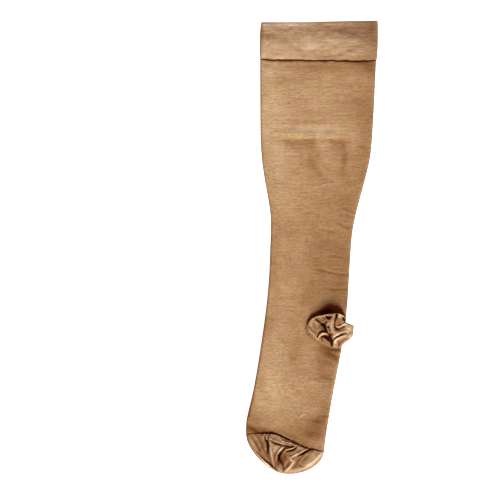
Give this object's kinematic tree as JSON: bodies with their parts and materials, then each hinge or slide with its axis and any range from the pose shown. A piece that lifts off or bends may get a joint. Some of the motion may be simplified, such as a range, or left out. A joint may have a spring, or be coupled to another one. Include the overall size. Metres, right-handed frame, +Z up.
{
  "type": "compression stocking",
  "caption": "Knee-high compression stocking in beige knit, laid flat, with a doubled top band, a crumpled heel pocket and a gathered closed toe.",
  "frame": {"origin": "middle of the stocking's bounding box, on the surface it lies on", "axes": "+Y from the toe to the top band, +X across the leg to the side where the heel pocket lies, +Z up from the surface"},
  "size_m": [0.148, 0.5072, 0.0153],
  "materials": {
    "band_knit": "matte elastic knit",
    "leg_knit": "matte fine knit with a slight sheen",
    "pocket_knit": "matte thin knit"
  },
  "bodies": {
    "root": {"top_band": "band_knit", "leg_tube": "leg_knit", "heel_pouch": "pocket_knit", "toe_cap": "pocket_knit"}
  },
  "joints": []
}
